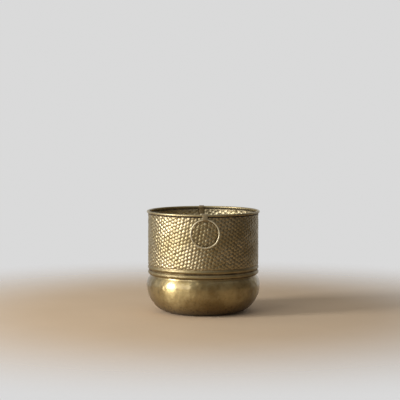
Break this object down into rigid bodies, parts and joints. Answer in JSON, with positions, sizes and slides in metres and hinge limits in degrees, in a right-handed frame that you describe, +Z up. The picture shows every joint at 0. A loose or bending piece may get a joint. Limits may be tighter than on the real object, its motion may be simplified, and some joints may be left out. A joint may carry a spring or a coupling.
{
  "type": "cachepot",
  "caption": "Hammered antique-brass cachepot with a rolled rim, beaded waist and bulging spun bowl; ring handles swing front and rear, and a plant in its nursery pot stands inside.",
  "frame": {"origin": "centre of the foot, on the surface that the pot stands on", "axes": "+Z up along the pot's axis, -Y towards the front handle, +Y towards the rear handle"},
  "size_m": [0.2052, 0.2126, 0.1855],
  "materials": {
    "hammered_brass": "antique, hammered all over, polished high spots",
    "spun_brass": "antique, spun and hand-smoothed, semi-gloss",
    "ring_brass": "antique drawn wire, semi-gloss",
    "strap_brass": "antique folded strip, satin",
    "rivet_brass": "antique, hammered heads",
    "steel_wire": "bright drawn wire, hidden in the rim"
  },
  "bodies": {
    "pot": {"hammered_wall": "hammered_brass", "spun_bowl": "spun_brass", "rim_wire": "steel_wire", "front_strap": "strap_brass", "front_rivet": "rivet_brass", "rear_strap": "strap_brass", "rear_rivet": "rivet_brass"},
    "front_handle": {"front_ring": "ring_brass"},
    "rear_handle": {"rear_ring": "ring_brass"}
  },
  "joints": [
    {"name": "front_ring_swing", "type": "hinge", "parent": "pot", "child": "front_handle", "pos_m": [0, -0.10331, 0.17524], "axis": [-1, 0, 0], "range_deg": [-1.5, 184]},
    {"name": "rear_ring_swing", "type": "hinge", "parent": "pot", "child": "rear_handle", "pos_m": [0, 0.10331, 0.17524], "axis": [1, 0, 0], "range_deg": [-1.5, 184]}
  ]
}
